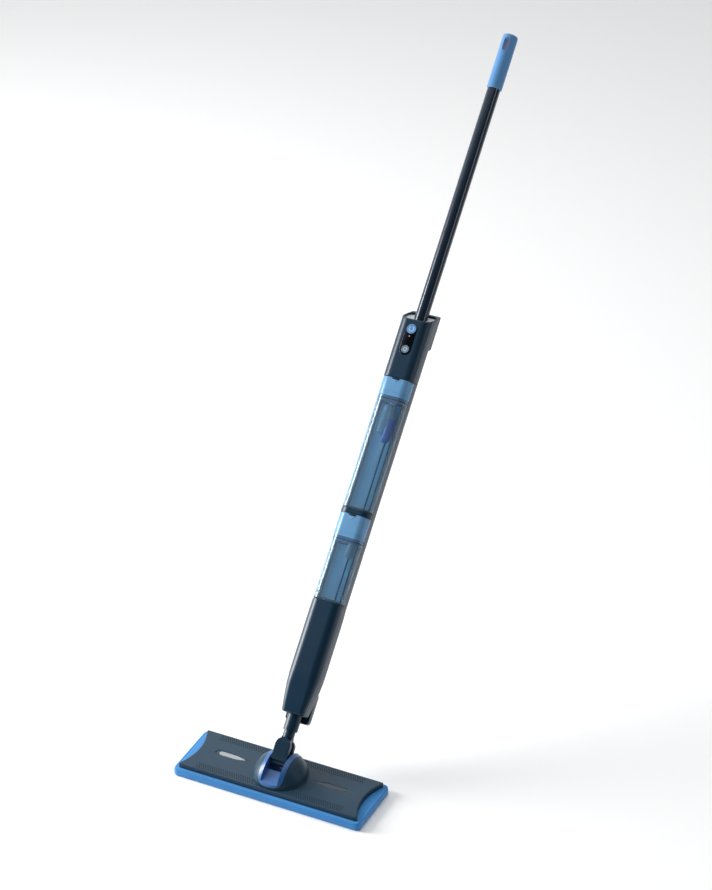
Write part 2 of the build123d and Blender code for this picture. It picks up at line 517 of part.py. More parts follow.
def upper_housing():
    nodes = {}
    outer = prism(case_section(), UPPER_BOTTOM, RIM_BACK + 5)
    boss_back = UPPER_BACK + BOSS_PROUD
    boss_face = Pos(0, 6) * RectangleRounded(2 * BOSS_HALF, 2 * (boss_back - 6), BOSS_CORNER)
    boss = prism(boss_face, BOSS_BOTTOM, RIM_BACK + 5)
    boss -= Pos(0, boss_back + 4, BOSS_BOTTOM) * Rot(45, 0, 0) * Box(60, 16, 16)
    cavity = prism(case_section(WALL), UPPER_BOTTOM + WALL, RIM_BACK + 10)
    shell = (outer + boss) - cavity - above_rim(0)
    panel_face = SlotCenterToCenter(POWER_S - MODE_S, 2 * PANEL_RADIUS, rotation=90)
    panel = Rot(90, 0, 0) * extrude(panel_face, PANEL_THICK)
    panel = Pos(0, -UPPER_FRONT + PANEL_THICK + PANEL_SUNK, (POWER_S + MODE_S) / 2) * panel
    shell -= panel
    shell -= Pos(0, -PANEL_THICK, 0) * panel
    holes = rod_y(POWER_RADIUS + BUTTON_CLEAR, -UPPER_FRONT - 5, -UPPER_FRONT + 5, z=POWER_S)
    holes += rod_y(MODE_RADIUS + BUTTON_CLEAR, -UPPER_FRONT - 5, -UPPER_FRONT + 5, z=MODE_S)
    lamp = rod_y(LED_RADIUS, -UPPER_FRONT, -BOARD_FRONT, z=LED_S)
    shell = shell - holes - lamp
    nodes["display_panel"] = panel - holes - lamp
    nodes["status_led"] = lamp

    half = RELEASE_HALF + GAP
    shell -= slab(-half, half, SOCKET_RADIUS + GAP, 45, RELEASE_BOTTOM - GAP, RELEASE_TOP + GAP)
    shell -= slab(-14, 15.6, 5.8, 14.0, UPPER_BOTTOM - 1, UPPER_BOTTOM + 5)
    nodes["upper_housing_front"] = keep_front(shell, CASING_SPLIT)
    nodes["upper_housing_rear"] = keep_back(shell, CASING_SPLIT)

    nodes["power_button"] = button(POWER_S, POWER_RADIUS)
    nodes["mode_button"] = button(MODE_S, MODE_RADIUS)
    board = slab(-14, 14, -BOARD_FRONT, -BOARD_FRONT + BOARD_THICK, 682, 746)
    for s in (POWER_S, MODE_S):
        board += slab(-3, 3, -BOARD_FRONT - SWITCH_HEIGHT, -BOARD_FRONT, s - 3, s + 3)
    nodes["button_board"] = board

    face_y = boss_back + RELEASE_PROUD
    release = slab(-RELEASE_HALF, RELEASE_HALF, RELEASE_BACK, face_y, RELEASE_BOTTOM, RELEASE_TOP)
    release = fillet(release.edges().filter_by(Axis.Y), 2.0)
    nodes["tube_release"] = release + rod_y(3.0, RELEASE_BACK - 0.9, RELEASE_BACK, z=736)

    inside = prism(case_section(WALL), 700, RIM_BACK + 10)
    collar = (inside & above_rim(COLLAR_DROP + COLLAR_THICK)) - above_rim(COLLAR_DROP)
    nodes["top_collar"] = collar - rod_z(TUBE_RADIUS, 700, 800)
    socket = rod_z(SOCKET_RADIUS, SOCKET_BOTTOM, SOCKET_TOP)
    socket -= rod_z(TUBE_RADIUS, TUBE_BOTTOM, SOCKET_TOP + 1)
    socket -= rod_z(TUBE_RADIUS - 2, SOCKET_BOTTOM - 1, TUBE_BOTTOM + 1)
    nodes["tube_socket"] = socket

    screws = [rod_y(1.5, -4, 10, x, z) for x in (-18.5, 18.5) for z in (662, 740)]
    nodes["housing_screws"] = Compound(screws)
    return nodes


# ---------------------------------------------------------------- handle (pole space)
def handle():
    tube = rod_z(TUBE_RADIUS, TUBE_BOTTOM, TUBE_TOP)
    tube -= rod_z(TUBE_RADIUS - TUBE_WALL, TUBE_BOTTOM - 1, TUBE_TOP + 1)
    grip = rod_z(GRIP_RADIUS, GRIP_BOTTOM, GRIP_TOP)
    grip = fillet(grip.edges().sort_by(Axis.Z)[-1], GRIP_END_ROUND)
    grip = fillet(grip.edges().sort_by(Axis.Z)[0], 0.8)
    grip -= rod_z(TUBE_RADIUS, GRIP_BOTTOM - 1, TUBE_TOP)
    slot_face = SlotOverall(SLOT_LENGTH, SLOT_WIDTH, rotation=90)
    slot = Pos(0, 20, SLOT_TOP - SLOT_LENGTH / 2) * Rot(90, 0, 0) * extrude(slot_face, 40)
    return {"handle_tube": tube, "grip": grip - slot}


def main():
    os.makedirs("parts", exist_ok=True)
    nodes = head()
    on_pole = {}
    for build in (knuckle, neck, lower_housing, spine, clean_tank, dirty_tank, upper_housing, handle):
        on_pole.update(build())
    stand = Pos(0, 0, PIVOT_Z) * Rot(-LEAN, 0, 0)
    for name, shape in on_pole.items():
        nodes[name] = stand * shape
    for name, shape in nodes.items():
        export_step(shape, f"parts/{name}.step")
    print(len(nodes), "nodes")


main()
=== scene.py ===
"""Cordless flat mop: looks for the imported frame.

Lengths on the pole are in millimetres in pole space: x across, y towards the back, s up the pole
from the pitch axis. on_pole() turns them into metres in the frame's own space.
"""

import json
import math

import bpy
import numpy as np
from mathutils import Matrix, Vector


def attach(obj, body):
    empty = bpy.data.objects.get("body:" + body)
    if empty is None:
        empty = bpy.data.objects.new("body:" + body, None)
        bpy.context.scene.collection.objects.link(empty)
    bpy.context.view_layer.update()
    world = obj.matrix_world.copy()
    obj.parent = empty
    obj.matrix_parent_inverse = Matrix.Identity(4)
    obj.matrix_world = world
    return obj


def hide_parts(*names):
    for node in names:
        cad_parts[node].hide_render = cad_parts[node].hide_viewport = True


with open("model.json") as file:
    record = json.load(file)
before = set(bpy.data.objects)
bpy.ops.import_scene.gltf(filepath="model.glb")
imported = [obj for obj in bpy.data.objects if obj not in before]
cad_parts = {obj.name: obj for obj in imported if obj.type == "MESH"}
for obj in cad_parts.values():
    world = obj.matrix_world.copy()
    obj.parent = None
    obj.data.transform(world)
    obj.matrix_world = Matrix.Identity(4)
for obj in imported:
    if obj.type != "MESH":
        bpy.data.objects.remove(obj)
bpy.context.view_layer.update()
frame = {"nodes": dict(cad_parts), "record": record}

MM = 0.001
record = frame["record"]
mounts = {m["name"]: m for m in record["mounts"]}
joints = {j["name"]: j for j in record["behaviour"]["joints"]}
UP = np.array(mounts["hand_grip"]["axis"])
ACROSS = np.array([1.0, 0.0, 0.0])
BACK = np.cross(UP, ACROSS)
PIVOT = np.array(joints["head_pitch"]["pos_m"])
TAU = 2 * math.pi


def on_pole(points):
    """Pole space to the frame: pivot + x across + y back + s up, from millimetres to metres."""
    points = np.asarray(points, float) * MM
    return PIVOT + points[..., :1] * ACROSS + points[..., 1:2] * BACK + points[..., 2:3] * UP


def upright(points):
    """Head space to the frame: only millimetres to metres."""
    return np.asarray(points, float) * MM


# ------------------------------------------------------------------ meshes
def link(name, mesh, body, material, replaces=()):
    piece = bpy.data.objects.new(name, mesh)
    bpy.context.scene.collection.objects.link(piece)
    mesh.materials.append(material)
    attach(piece, body)
    if replaces:
        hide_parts(*replaces)
    return piece


def mesh_from(name, vertices, faces, sharp_degrees=35):
    mesh = bpy.data.meshes.new(name)
    mesh.from_pydata(vertices.reshape(-1, 3).tolist(), [], faces)
    mesh.validate()
    mesh.shade_smooth()
    mesh.set_sharp_from_angle(angle=math.radians(sharp_degrees))
    return mesh


def strip_faces(rows, columns):
    """Quads between neighbouring closed rings of a grid, outward for counter-clockwise rings going up."""
    row, column = np.meshgrid(np.arange(rows - 1), np.arange(columns), indexing="ij")
    after = (column + 1) % columns
    quads = np.stack([row * columns + column, row * columns + after,
                      (row + 1) * columns + after, (row + 1) * columns + column], axis=-1)
    return quads.reshape(-1, 4).tolist()


def lathe_faces(rings, closed_tube=False):
    """Faces for a stack of rings; end rings are capped, or joined when the stack is a closed wall."""
    rows, columns = rings.shape[:2]
    faces = strip_faces(rows, columns)
    if closed_tube:
        last = (rows - 1) * columns
        for i in range(columns):
            j = (i + 1) % columns
            faces.append((last + i, last + j, j, i))
    else:
        faces.append(tuple(range(columns - 1, -1, -1)))
        faces.append(tuple(range((rows - 1) * columns, rows * columns)))
    return faces


def stack(name, rings, body, material, replaces=(), place=on_pole, wall=False, sharp=35):
    """A solid skinned over a stack of rings given bottom to top (rows, columns, xyz)."""
    rings = np.asarray(rings, float)
    mesh = mesh_from(name, place(rings), lathe_faces(rings, wall), sharp)
    return link(name, mesh, body, material, replaces)


# Points in each corner of a rounded rectangle, and round a turned solid.
CORNER_ARC, TURNED_POINTS = 14, 56


def circle(radius, count, x=0.0, y=0.0):
    """Counter-clockwise circle seen from above: centre + radius (cos, sin)."""
    angle = np.arange(count) * TAU / count
    return np.stack([x + radius * np.cos(angle), y + radius * np.sin(angle)], axis=-1)


def rounded(half, front, back, front_round, back_round, arc=CORNER_ARC):
    """Rounded rectangle, counter-clockwise: four quarter arcs joined by straight sides."""
    corners = ((half - back_round, back - back_round, back_round, 0),
               (-half + back_round, back - back_round, back_round, 1),
               (-half + front_round, -front + front_round, front_round, 2),
               (half - front_round, -front + front_round, front_round, 3))
    parts = []
    for x, y, radius, quarter in corners:
        angle = (quarter + np.linspace(0, 1, arc)) * TAU / 4
        parts.append(np.stack([x + radius * np.cos(angle), y + radius * np.sin(angle)], axis=-1))
    return np.concatenate(parts)


def at_height(outline, s):
    return np.concatenate([outline, np.full((len(outline), 1), float(s))], axis=1)


def profile_rings(outline_at, profile):
    """One ring for each (inset, height) of the profile."""
    return np.array([at_height(outline_at(inset), s) for inset, s in profile])


def edge_round(inset0, height0, inset1, height1, steps=5, bulge_up=True):
    """Quarter ellipse from (inset0, height0) to (inset1, height1) in an edge's section."""
    t = np.linspace(0, 1, steps) * TAU / 4
    early, late = 1 - np.cos(t), np.sin(t)
    inward, upward = (early, late) if bulge_up else (late, early)
    return list(zip(inset0 + (inset1 - inset0) * inward, height0 + (height1 - height0) * upward))


# ------------------------------------------------------------------ materials
def linear(hex_colour):
    """sRGB hex to linear RGBA."""
    channels = [int(hex_colour[i:i + 2], 16) / 255 for i in (1, 3, 5)]
    return [c / 12.92 if c <= 0.04045 else ((c + 0.055) / 1.055) ** 2.4 for c in channels] + [1.0]


def node(tree, kind, links=(), **settings):
    """Adds a node; settings name its properties or sockets, links are (socket, source socket)."""
    made = tree.nodes.new(kind)
    for name, value in settings.items():
        if hasattr(made, name):
            setattr(made, name, value)
        else:
            made.inputs[name.replace("_", " ")].default_value = value
    for socket, source in links:
        tree.links.new(source, made.inputs[socket])
    return made


def material(name, colour, roughness, grain_mm=0.0, bump=0.0, vary=0.0, vary_mm=40.0, **shader_values):
    """Moulded or coated surface: slow colour drift over vary_mm and a fine grain of grain_mm."""
    made = bpy.data.materials.new(name)
    made.use_nodes = True
    tree = made.node_tree
    shader = tree.nodes["Principled BSDF"]
    shader.inputs["Base Color"].default_value = linear(colour)
    shader.inputs["Roughness"].default_value = roughness
    for socket, value in shader_values.items():
        shader.inputs[socket.replace("_", " ")].default_value = value
    where = node(tree, "ShaderNodeTexCoord").outputs["Object"]
    if vary:
        drift = node(tree, "ShaderNodeTexNoise", [("Vector", where)], Scale=1 / (vary_mm * MM), Detail=3.0)
        dark = [c * (1 - vary) for c in linear(colour)[:3]] + [1.0]
        light = [min(1.0, c * (1 + vary)) for c in linear(colour)[:3]] + [1.0]
        ramp = node(tree, "ShaderNodeValToRGB", [("Fac", drift.outputs["Fac"])])
        ramp.color_ramp.elements[0].position = 0.3
        ramp.color_ramp.elements[0].color = dark
        ramp.color_ramp.elements[1].position = 0.7
        ramp.color_ramp.elements[1].color = light
        tree.links.new(ramp.outputs["Color"], shader.inputs["Base Color"])
    if bump:
        grain = node(tree, "ShaderNodeTexNoise", [("Vector", where)], Scale=1 / (grain_mm * MM), Detail=2.0)
        relief = node(tree, "ShaderNodeBump", [("Height", grain.outputs["Fac"])],
                      Distance=bump * MM, Strength=1.0)
        tree.links.new(relief.outputs["Normal"], shader.inputs["Normal"])
    return made


# Navy ABS with a fine spark-eroded mould texture: dark, even, wide soft highlights.
NAVY = material("navy_abs_moulded", "#0a2c41", 0.34, grain_mm=0.6, bump=0.02, vary=0.05,
                Specular_IOR_Level=0.4)
# The head's plate and dome are the same ABS with a coarser texture and a greyer blue.
PLATE = material("plate_abs_textured", "#1a3a4e", 0.42, grain_mm=0.8, bump=0.03, vary=0.06,
                 Specular_IOR_Level=0.3)
# Painted shade: a dark colour on the plate's dots, standing in for the shade inside the pits of its dot
# pattern.
PIT_PAINTED_SHADE = material("plate_pits_painted_shade", "#081620", 0.6, grain_mm=0.8, bump=0.02, vary=0.06,
               Specular_IOR_Level=0.2)
# Grip and power button: light blue polypropylene, satin, slightly waxy.
LIGHT_BLUE = material("grip_polypropylene", "#5389bd", 0.36, grain_mm=0.5, bump=0.02, vary=0.04,
                      Subsurface_Weight=0.05)
# Liner: mid-blue acetal, smooth, for low friction at the joint.
LINER = material("liner_acetal", "#2f629f", 0.32, grain_mm=0.5, bump=0.01, vary=0.04)
# Tank walls: tinted clear copolyester, injection moulded.
CLEAR = material("tank_clear_copolyester", "#b4d6ec", 0.07, vary=0.02, Transmission_Weight=0.9, IOR=1.4)
# Caps: the same tint, loaded with pigment, so light only glows through.
CAP = material("cap_pigmented_copolyester", "#6b9fcb", 0.24, vary=0.03, Transmission_Weight=0.1, IOR=1.45)
# Painted light: pale frosted strips on the back wall inside the tanks, seen through the clear wall, paint
# the light streaks and the lit left side of each tank.
STRIP_PAINTED_LIGHT = material("tank_strips_painted_light", "#b9d8ea", 0.5, vary=0.04, vary_mm=60.0, Subsurface_Weight=0.1)
# Handle tube: aluminium with a dark glossy navy coat.
TUBE = material("tube_coated_aluminium", "#16283a", 0.2, Metallic=0.3, Coat_Weight=0.6, Coat_Roughness=0.12)
# Knitted microfibre pad.
PAD = material("pad_microfibre", "#2082c8", 0.75, grain_mm=1.2, bump=0.25, vary=0.06, Sheen_Weight=0.35)
# Panel: gloss black acrylic.
PANEL = material("panel_gloss_acrylic", "#020508", 0.07, vary=0.02, IOR=1.49)
# Mode button: grey-blue ABS, satin.
GREY = material("button_grey_abs", "#667d8e", 0.33, grain_mm=0.4, bump=0.01, vary=0.03)
# Printed marks on the buttons: pale ink.
SYMBOL = material("mark_pale_ink", "#d8e8f6", 0.45, vary=0.02)
# Status lamp: frosted acrylic, faintly lit.
LAMP = material("lamp_frosted_acrylic", "#c9a9a6", 0.4, vary=0.02, Emission_Strength=0.15,
                Emission_Color=linear("#ffb0a8"))
# Collar: satin ABS; its pale colour is a painted reflection of the bright room, where the rim opens
# upwards.
COLLAR_PAINTED_REFLECTION = material("collar_abs_painted_reflection", "#dfe5ea", 0.3, vary=0.02)
# Windows: smoked gloss acrylic.
WINDOW = material("window_smoked_acrylic", "#2c3b46", 0.08, vary=0.03, IOR=1.49)
# Pins, screws, pump motors and rotors: ground steel.
STEEL = material("pin_ground_steel", "#b7bcc2", 0.25, vary=0.03, Metallic=1.0)
# Tank seals, outlet gasket and charging flap: black rubber.
RUBBER = material("seal_rubber", "#1d2023", 0.6, grain_mm=0.4, bump=0.02, vary=0.05)
# Hoses: translucent grey silicone.
HOSE = material("hose_silicone", "#c2ccd2", 0.35, vary=0.05, Subsurface_Weight=0.2)
# Circuit boards: green solder mask.
BOARD = material("board_solder_mask", "#0f5a34", 0.35, vary=0.06)
# Inner mouldings and the charging port: undyed ABS.
INNER = material("inner_natural_abs", "#a7adb2", 0.45, grain_mm=0.5, bump=0.01, vary=0.04)
# Battery cells: green shrink wrap.
CELL = material("cell_shrink_wrap", "#2b8a62", 0.3, vary=0.04)
# Wires: red PVC insulation.
WIRE = material("wire_insulation", "#9c1f1a", 0.4, vary=0.05)
# Concentrate: blue-violet liquid, with a little glow so that it shows through the tank.
LIQUID = material("dosing_concentrate", "#4148d0", 0.1, vary=0.03, Emission_Strength=0.12,
                  Emission_Color=linear("#4148d0"))
# Cartridge: natural polypropylene, cloudy.
CLOUDY = material("cartridge_polypropylene", "#d3e6f0", 0.3, vary=0.03, Transmission_Weight=0.45, IOR=1.4)
# Hook tape that holds the pad: black nylon.
HOOK = material("hook_tape_nylon", "#14181c", 0.8, grain_mm=0.7, bump=0.2, vary=0.1)

SLOT_MATERIAL = {
    "navy_plastic": NAVY, "plate_plastic": PLATE, "light_blue_plastic": LIGHT_BLUE, "liner_plastic": LINER,
    "clear_blue_plastic": CLEAR, "cap_plastic": CAP, "tube_metal": TUBE, "pad_fabric": PAD,
    "hook_nylon": HOOK, "steel": STEEL, "panel_gloss": PANEL, "grey_button": GREY, "lamp": LAMP,
    "circuit_board": BOARD, "inner_plastic": INNER, "cell_wrap": CELL, "seal_rubber": RUBBER,
    "hose_silicone": HOSE, "wire": WIRE, "window_gloss": WINDOW, "concentrate": LIQUID, "pump_metal": STEEL,
    "collar_plastic": COLLAR_PAINTED_REFLECTION,
}
for part in record["subparts"]:
    shown = frame["nodes"][part["node"]]
    shown.data.materials.clear()
    shown.data.materials.append(SLOT_MATERIAL[part["material_slot"]])


# ------------------------------------------------------------------ outlines
# Parting line of the housings: its y, its depth, and the points in each corner and on each flat run.
SEAM_Y, SEAM_GROOVE = -7.8, 0.45
CASE_ARC, CASE_RUN = 18, 13


def blend(t, low, high):
    """Smooth step of t from 0 at low to 1 at high."""
    u = np.clip((t - low) / (high - low), 0, 1)
    return u * u * (3 - 2 * u)


def casing_outline(half, front, back, front_round, back_round, groove):
    """Counter-clockwise pole section with a parting-line groove in both straight sides.

    Four quarter arcs joined by straight runs; each side run has points at the seam, pushed in by groove.
    """
    seam_y = SEAM_Y + np.array([-0.55, -0.3, 0.0, 0.3, 0.55])
    dent = groove * np.array([0.0, 0.8, 1.0, 0.8, 0.0])
    turn = np.linspace(0, 1, CASE_ARC) * TAU / 4
    right_low = (half - front_round, -front + front_round, front_round, 3)
    right_high = (half - back_round, back - back_round, back_round, 0)
    left_high = (-half + back_round, back - back_round, back_round, 1)
    left_low = (-half + front_round, -front + front_round, front_round, 2)

    def quarter(x, y, radius, start):
        angle = start * TAU / 4 + turn
        return np.stack([x + radius * np.cos(angle), y + radius * np.sin(angle)], axis=-1)

    right_seam = np.stack([half - dent, seam_y], axis=-1)
    left_seam = np.stack([-half + dent, seam_y[::-1]], axis=-1)
    across = np.linspace(1, -1, CASE_RUN + 2)[1:-1]
    back_run = np.stack([across * (half - back_round), np.full(CASE_RUN, back)], axis=-1)
    front_run = np.stack([-across * (half - front_round), np.full(CASE_RUN, -front)], axis=-1)
    return np.concatenate([quarter(*right_low), right_seam, quarter(*right_high), back_run,
                           quarter(*left_high), left_seam, quarter(*left_low), front_run])


def stadium(radius, reach, count=24):
    """Two half circles of the radius, their centres reach apart along the second axis."""
    angle = np.linspace(0, TAU / 2, count)
    top = np.stack([radius * np.cos(angle), reach / 2 + radius * np.sin(angle)], axis=-1)
    return np.concatenate([top, -top])


def facing_front(points):
    """(x, s, height off the axis) to the frame, with height towards the front."""
    points = np.asarray(points, float)
    return on_pole(np.stack([points[..., 0], -points[..., 2], points[..., 1]], axis=-1))


# ------------------------------------------------------------------ housings
# Section of both housings where they meet the tanks: half width, front, back, front corner, back corner.
CASE = (27.0, 26.0, 16.5, 15.0, 13.0)
TUBE_HOLE = 11.05
# The rim's height in front and at the back, and the rear boss, drawn to the photo.
RIM_FRONT, RIM_BACK = 748.5, 770.0
RIM_SLOPE = (RIM_BACK - RIM_FRONT) / (CASE[1] + CASE[2])
BOSS_HALF, BOSS_BACK, BOSS_ROUND = 26.2, 21.0, 5.0


def rim_height(y):
    """The slanted rim: from RIM_FRONT at the casing's front to RIM_BACK at its back."""
    return RIM_FRONT + RIM_SLOPE * (y + CASE[1])


def casing_ring(inset, groove=0.0):
    half, front, back, front_round, back_round = CASE
    return casing_outline(half - inset, front - inset, back - inset, front_round - inset,
                          back_round - inset, groove)


def pushed_to_boss(line, inset):
    """Rear points that lie inside the boss's rounded box move out to it along rays from the tube's axis."""
    points = line.copy()
    rear = blend(line[:, 1], 3.0, 5.0)
    for _ in range(30):
        x_over = np.abs(points[:, 0]) - (BOSS_HALF - BOSS_ROUND)
        y_over = points[:, 1] - (BOSS_BACK - BOSS_ROUND)
        outside = np.hypot(np.maximum(x_over, 0), np.maximum(y_over, 0))
        distance = outside + np.minimum(np.maximum(x_over, y_over), 0) - (BOSS_ROUND - inset)
        push = np.maximum(-distance, 0) * rear
        points += push[:, None] * points / np.hypot(points[:, 0], points[:, 1])[:, None]
    return points


def top_casing():
    """Prism whose rings tilt gradually into the slanted rim, over a rounded lip and down inside.

    Height = foot + t (rim(y) - foot) + lift; the rear boss is blended in over its first 6 mm.
    """
    foot, wall = 648.3, 2.4
    rings = [(t, inset, 0.0) for t, inset in ((0, 0.9), (0.003, 0.35), (0.008, 0.05))]
    rings += [(t, 0.0, 0.0) for t in np.linspace(0.012, 0.985, 60)]
    rings += [(1.0, inset, lift) for inset, lift in edge_round(0.0, -1.2, 1.2, 0.0, 6)]
    rings += [(1.0, inset, lift) for inset, lift in edge_round(1.2, 0.0, wall, -1.2, 6, False)[1:]]
    rings += [(1.0, wall, drop) for drop in (-3.0, -6.0, -9.0)]
    grid = []
    for t, inset, lift in rings:
        line = casing_ring(inset, SEAM_GROOVE if inset < 0.01 else 0.0)
        if inset <= 1.3:
            level = foot + t * (RIM_BACK - foot)
            line = line + blend(level, 708.5, 714.5) * (pushed_to_boss(line, inset) - line)
        grid.append(np.column_stack([line, foot + t * (rim_height(line[:, 1]) - foot) + lift]))
    return stack("top_casing", grid, "pole", NAVY,
                 ("upper_housing_front", "upper_housing_rear"), sharp=50)


def rim_collar():
    """Ring closing the top casing, from its inside outline to the tube, tilted with the rim; its pale
    colour is a painted reflection.
    """
    outer = casing_ring(2.2)
    angle = np.arctan2(outer[:, 1], outer[:, 0])
    inner = TUBE_HOLE * np.stack([np.cos(angle), np.sin(angle)], axis=-1)
    shallow, dish, deep = 4.2, 1.6, 9.0
    steps = [(outer, deep), (outer, shallow)]
    steps += [(outer + t * (inner - outer), shallow + dish * t) for t in np.linspace(0, 1, 5)[1:]]
    steps.append((inner, deep))
    rings = [np.column_stack([line, rim_height(line[:, 1]) - drop]) for line, drop in steps]
    return stack("rim_collar", rings, "pole", COLLAR_PAINTED_REFLECTION, ("top_collar",), wall=True)


def lower_casing():
    """Loft through stations (height, half, front, back, front corner, back corner).

    Each column follows Hermite cubics in height, so the flanks swell and close smoothly. The slopes are
    zero on the straight run between the stations at 150 and 236.
    """
    stations = np.array([
        (81, 20.3, 18.8, 14.4, 8.2, 9.5), (92, 21.8, 20.5, 15.2, 9, 10), (106, 23.8, 22, 16.4, 10.5, 11),
        (120, 25.5, 23.5, 17.3, 12, 12), (130, 26.4, 24.6, 17.8, 13.5, 12.5),
        (150, 27.4, 25.9, 17.9, 15.5, 13), (236, 27.4, 25.9, 17.9, 15.5, 13), (265.7, *CASE)])
    heights = np.linspace(stations[0, 0], stations[-1, 0], 60)
    slopes = np.gradient(stations[:, 1:], stations[:, 0], axis=0)
    slopes[5:7] = 0
    spot = np.searchsorted(stations[:, 0], heights, side="right") - 1
    spot = np.clip(spot, 0, len(stations) - 2)
    span = (stations[spot + 1, 0] - stations[spot, 0])[:, None]
    u = (heights - stations[spot, 0])[:, None] / span
    columns = ((1 + 2 * u) * (1 - u) ** 2 * stations[spot, 1:] + u * (1 - u) ** 2 * span * slopes[spot]
               + u * u * (3 - 2 * u) * stations[spot + 1, 1:] + u * u * (u - 1) * span * slopes[spot + 1])
    foot_round = edge_round(4.5, -3.0, 0.0, 0.0, 8, False)
    grid = [lower_ring(columns[0], heights[0] + lift, inset) for inset, lift in foot_round]
    grid += [lower_ring(row, height, 0.0) for row, height in zip(columns[1:], heights[1:])]
    grid += [lower_ring(columns[-1], heights[-1] + 0.25, inset) for inset in (0.5, 6.0)]
    return stack("lower_casing", grid, "pole", NAVY,
                 ("lower_housing_front", "lower_housing_rear"))


def lower_ring(row, height, inset):
    half, front, back, front_round, back_round = row
    line = casing_outline(half - inset, front - inset, back - inset, front_round - inset,
                          back_round - inset, SEAM_GROOVE if inset == 0 else 0.0)
    return at_height(line, height)


def casing_foot():
    """Block behind the neck: a rounded box with rolled top and bottom edges."""
    def outline(inset):
        return rounded(21 - inset, -12.5, 28 - inset, 1.0, 6 - inset)
    profile = edge_round(5.0, 68.0, 0.0, 74.0, 8, False) + [(0, 90), (0, 115.0)]
    profile += edge_round(0.0, 115.0, 5.0, 122.0, 8)
    return stack("casing_foot", profile_rings(outline, profile), "pole", NAVY)


# ------------------------------------------------------------------ tanks
# Each tank's base, the rim where its cap starts, and the top of the cap.
TANKS = {"clean": (422.4, 617.0, 647.6), "dirty": (266.4, 375.0, 413.6)}


def tank_outline(inset):
    """Counter-clockwise: flush with the housings in front, stepped in where it slides into the spine."""
    wide, narrow, step_y = 26.8 - inset, 24.3 - inset, -8.1 - inset
    front = rounded(wide, 25.8 - inset, 16.5, 15 - inset, 13)[2 * CORNER_ARC:]
    rear = rounded(narrow, 25.8, 4.2 - inset, 1.0, max(5 - inset, 1.0))[:2 * CORNER_ARC]
    side = np.array([(wide, step_y), (narrow, step_y)])
    return np.concatenate([side, rear, side[::-1] * (-1, 1), front])


def tank_shell(name, base, rim, body, node_name):
    """A cup: outside wall up from a rounded foot, over the rim, inside wall down to the floor.

    A fine groove runs round the outside, band above the base.
    """
    wall, band = 1.8, 12.0
    outside = edge_round(1.6, base, 0.0, base + 1.6, 5, False)
    outside += [(0.0, base + band - 0.6), (0.5, base + band - 0.3), (0.5, base + band + 0.3),
                (0.0, base + band + 0.6), (0.0, (base + rim) / 2), (0.0, rim - 0.2)]
    inside = [(wall, rim - 0.2), (wall, (base + rim) / 2), (wall, base + 6.0)]
    inside += [(wall + 1.0, base + 3.4), (wall + 3.0, base + 2.6)]
    return stack(name, profile_rings(tank_outline, outside + inside), body, CLEAR,
                 (node_name,))


def tank_cap(name, rim, top, body, node_name):
    """Blue cap: straight skirt with two fine grooves near its foot, rounded top edge, a plug below."""
    profile = [(3.6, rim - 9), (2.1, rim - 8.6), (2.1, rim - 0.1), (0.3, rim), (0.0, rim + 0.4)]
    for groove in (rim + 4.6, rim + 8.0):
        profile += [(0.0, groove - 0.45), (0.35, groove - 0.2), (0.35, groove + 0.2), (0.0, groove + 0.45)]
    profile += edge_round(0.0, top - 1.0, 1.0, top, 5)
    profile.append((4.0, top))
    return stack(name, profile_rings(tank_outline, profile), body, CAP, (node_name,))


def tank_painted_light_strips(name, base, rim, body):
    """Two frosted strips of painted light standing just inside the back wall: a wide left one for the lit
    left side and a narrow right one for a light streak.
    """
    front, back = 0.4, 1.9
    for side, x0, x1 in (("left", -21.0, 3.5), ("right", 7.0, 13.5)):
        line = np.array([(x0, front), (x1, front), (x1, back), (x0, back)])
        rings = [at_height(line, s) for s in (base + 4.0, rim - 10.0)]
        stack(f"{name}_{side}", rings, body, STRIP_PAINTED_LIGHT, sharp=20)


def cap_catch(name, top, body):
    """A low dark tab at the cap's top edge, following the front face."""
    outline = stadium(1.3, 11.0)[:, ::-1]
    rings = [at_height(outline * scale + (0, top - 1.6), height)
             for scale, height in ((1.0, 24.9), (1.0, 26.1), (0.86, 26.4))]
    return stack(name, np.array(rings)[:, ::-1], body, NAVY, place=facing_front)


def cap_arrow(name, top, body):
    """A shallow raised triangle under the tab, pointing down the pole."""
    corners = np.array([(-6.5, top - 3.4), (0.0, top - 9.4), (6.5, top - 3.4)])
    steps = np.linspace(0, 1, 8, endpoint=False)[:, None]
    sides = [corners[i] + steps * (corners[(i + 1) % 3] - corners[i]) for i in range(3)]
    line = np.concatenate(sides)
    middle = line.mean(axis=0)
    rings = [at_height(middle + (line - middle) * scale, height)
             for scale, height in ((1.0, 25.4), (1.0, 25.95), (0.9, 26.1))]
    return stack(name, rings, body, CAP, place=facing_front)


def revolve(name, profile, body, material_used, slot, x, y, replaces=()):
    """A turned solid on an axis along the pole: circles of each (radius, s)."""
    rings = [at_height(circle(radius, TURNED_POINTS, x, y), s) for radius, s in profile]
    return stack(name, rings, body, material_used, replaces)


